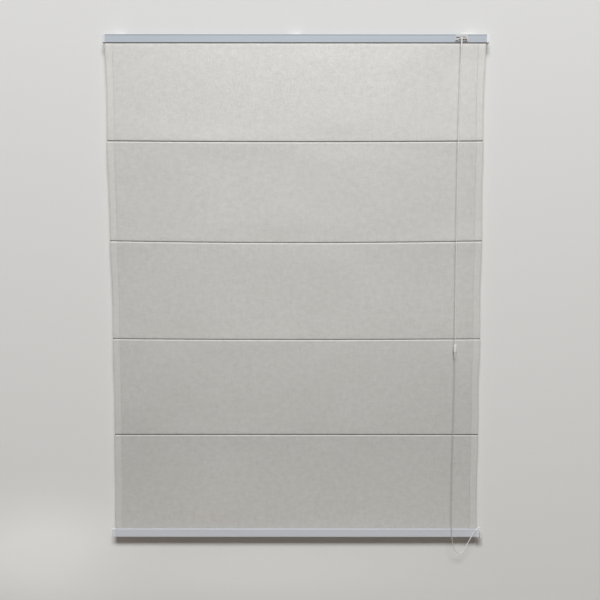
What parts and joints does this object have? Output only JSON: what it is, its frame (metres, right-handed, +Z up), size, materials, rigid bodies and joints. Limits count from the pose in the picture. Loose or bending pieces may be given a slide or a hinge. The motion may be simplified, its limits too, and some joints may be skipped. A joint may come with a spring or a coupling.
{
  "type": "roman blind",
  "caption": "Cord-operated roman blind: aluminium head rail with cord lock, flat cloth panels on rib rods, bottom bar, pull cord with condenser and tassel.",
  "frame": {"origin": "midway between the two screw holes of the centre wall bracket, on the wall's surface", "axes": "+X to the right as seen from the room, +Y into the wall, +Z up; the front faces -Y"},
  "size_m": [1.2108, 0.0382, 1.6611],
  "materials": {
    "anodised_aluminium": "satin anodised",
    "white_plastic": "satin",
    "bracket_steel": "zinc plated",
    "guide_plastic": "matt",
    "roller_plastic": "satin",
    "lock_plastic": "satin",
    "pin_steel": "bright",
    "spline_plastic": "matt",
    "rib_rod": "matt",
    "cream_cloth": "plain weave",
    "braided_cord": "braided"
  },
  "bodies": {
    "head": {"head_rail": "anodised_aluminium", "rail_end_cap_left": "white_plastic", "rail_end_cap_right": "white_plastic", "wall_bracket_left": "bracket_steel", "wall_bracket_centre": "bracket_steel", "wall_bracket_right": "bracket_steel", "top_spline": "spline_plastic", "fabric": "cream_cloth", "cord_guide_left": "guide_plastic", "cord_guide_centre": "guide_plastic", "cord_guide_right": "guide_plastic", "lock_housing": "lock_plastic", "turning_pin": "pin_steel", "exit_pin": "pin_steel", "cam_pin": "pin_steel", "lift_cord_left": "braided_cord", "lift_cord_centre": "braided_cord", "lift_cord_right": "braided_cord"},
    "bar": {"bottom_bar": "anodised_aluminium", "bar_end_cap_left": "white_plastic", "bar_end_cap_right": "white_plastic", "bottom_spline": "spline_plastic", "cord_anchor_left": "guide_plastic", "cord_anchor_centre": "guide_plastic", "cord_anchor_right": "guide_plastic"},
    "rib_1": {"rib_rod_1": "rib_rod", "cord_rings_1": "guide_plastic"},
    "rib_2": {"rib_rod_2": "rib_rod", "cord_rings_2": "guide_plastic"},
    "rib_3": {"rib_rod_3": "rib_rod", "cord_rings_3": "guide_plastic"},
    "rib_4": {"rib_rod_4": "rib_rod", "cord_rings_4": "guide_plastic"},
    "pull": {"condenser_body": "white_plastic", "condenser_cap": "white_plastic", "pull_cord": "braided_cord", "tassel": "white_plastic"},
    "guide_wheel_left": {"guide_roller_left": "roller_plastic"},
    "guide_wheel_centre": {"guide_roller_centre": "roller_plastic"},
    "guide_wheel_right": {"guide_roller_right": "roller_plastic"},
    "turning_wheel": {"turning_roller": "roller_plastic"},
    "exit_wheel": {"exit_roller": "roller_plastic"},
    "cam": {"lock_cam": "lock_plastic"}
  },
  "joints": [
    {"name": "lift", "type": "slide", "parent": "head", "child": "bar", "axis": [0, 0, 1], "range_m": [0, 1.3], "deforming": ["fabric", "lift_cord_left", "lift_cord_centre", "lift_cord_right"]},
    {"name": "rib_1_rise", "type": "slide", "parent": "head", "child": "rib_1", "axis": [0, 0, 1], "range_m": [0, 0.25161]},
    {"name": "rib_2_rise", "type": "slide", "parent": "head", "child": "rib_2", "axis": [0, 0, 1], "range_m": [0, 0.51371]},
    {"name": "rib_3_rise", "type": "slide", "parent": "head", "child": "rib_3", "axis": [0, 0, 1], "range_m": [0, 0.77581]},
    {"name": "rib_4_rise", "type": "slide", "parent": "head", "child": "rib_4", "axis": [0, 0, 1], "range_m": [0, 1.0379]},
    {"name": "cord_pull", "type": "slide", "parent": "head", "child": "pull", "axis": [0, 0, -1], "range_m": [0, 1.3], "deforming": ["pull_cord"]},
    {"name": "guide_left_spin", "type": "hinge", "parent": "head", "child": "guide_wheel_left", "pos_m": [-0.445, -0.0113, -0.0028], "axis": [0, 1, 0], "continuous": true},
    {"name": "guide_centre_spin", "type": "hinge", "parent": "head", "child": "guide_wheel_centre", "pos_m": [0.005, -0.0113, -0.0028], "axis": [0, 1, 0], "continuous": true},
    {"name": "guide_right_spin", "type": "hinge", "parent": "head", "child": "guide_wheel_right", "pos_m": [0.455, -0.0113, -0.0028], "axis": [0, 1, 0], "continuous": true},
    {"name": "turning_spin", "type": "hinge", "parent": "head", "child": "turning_wheel", "pos_m": [0.5083, -0.0146, 0.0022], "axis": [0, 0, 1], "continuous": true},
    {"name": "exit_spin", "type": "hinge", "parent": "head", "child": "exit_wheel", "pos_m": [0.5125, -0.0302, -0.0014], "axis": [1, 0, 0], "continuous": true},
    {"name": "cam_grip", "type": "hinge", "parent": "head", "child": "cam", "pos_m": [0.5125, -0.0226, 0.00815], "axis": [1, 0, 0], "range_deg": [-35, 0]}
  ],
  "couplings": [
    {"joint": "rib_1_rise", "follows": "lift", "ratio": 0.19355},
    {"joint": "rib_2_rise", "follows": "lift", "ratio": 0.39516},
    {"joint": "rib_3_rise", "follows": "lift", "ratio": 0.59677},
    {"joint": "rib_4_rise", "follows": "lift", "ratio": 0.79839},
    {"joint": "cord_pull", "follows": "lift", "ratio": 1},
    {"joint": "guide_left_spin", "follows": "lift", "rad_per_m": 200},
    {"joint": "guide_centre_spin", "follows": "lift", "rad_per_m": 200},
    {"joint": "guide_right_spin", "follows": "lift", "rad_per_m": 200},
    {"joint": "turning_spin", "follows": "lift", "rad_per_m": -238.1},
    {"joint": "exit_spin", "follows": "lift", "rad_per_m": 277.78}
  ]
}
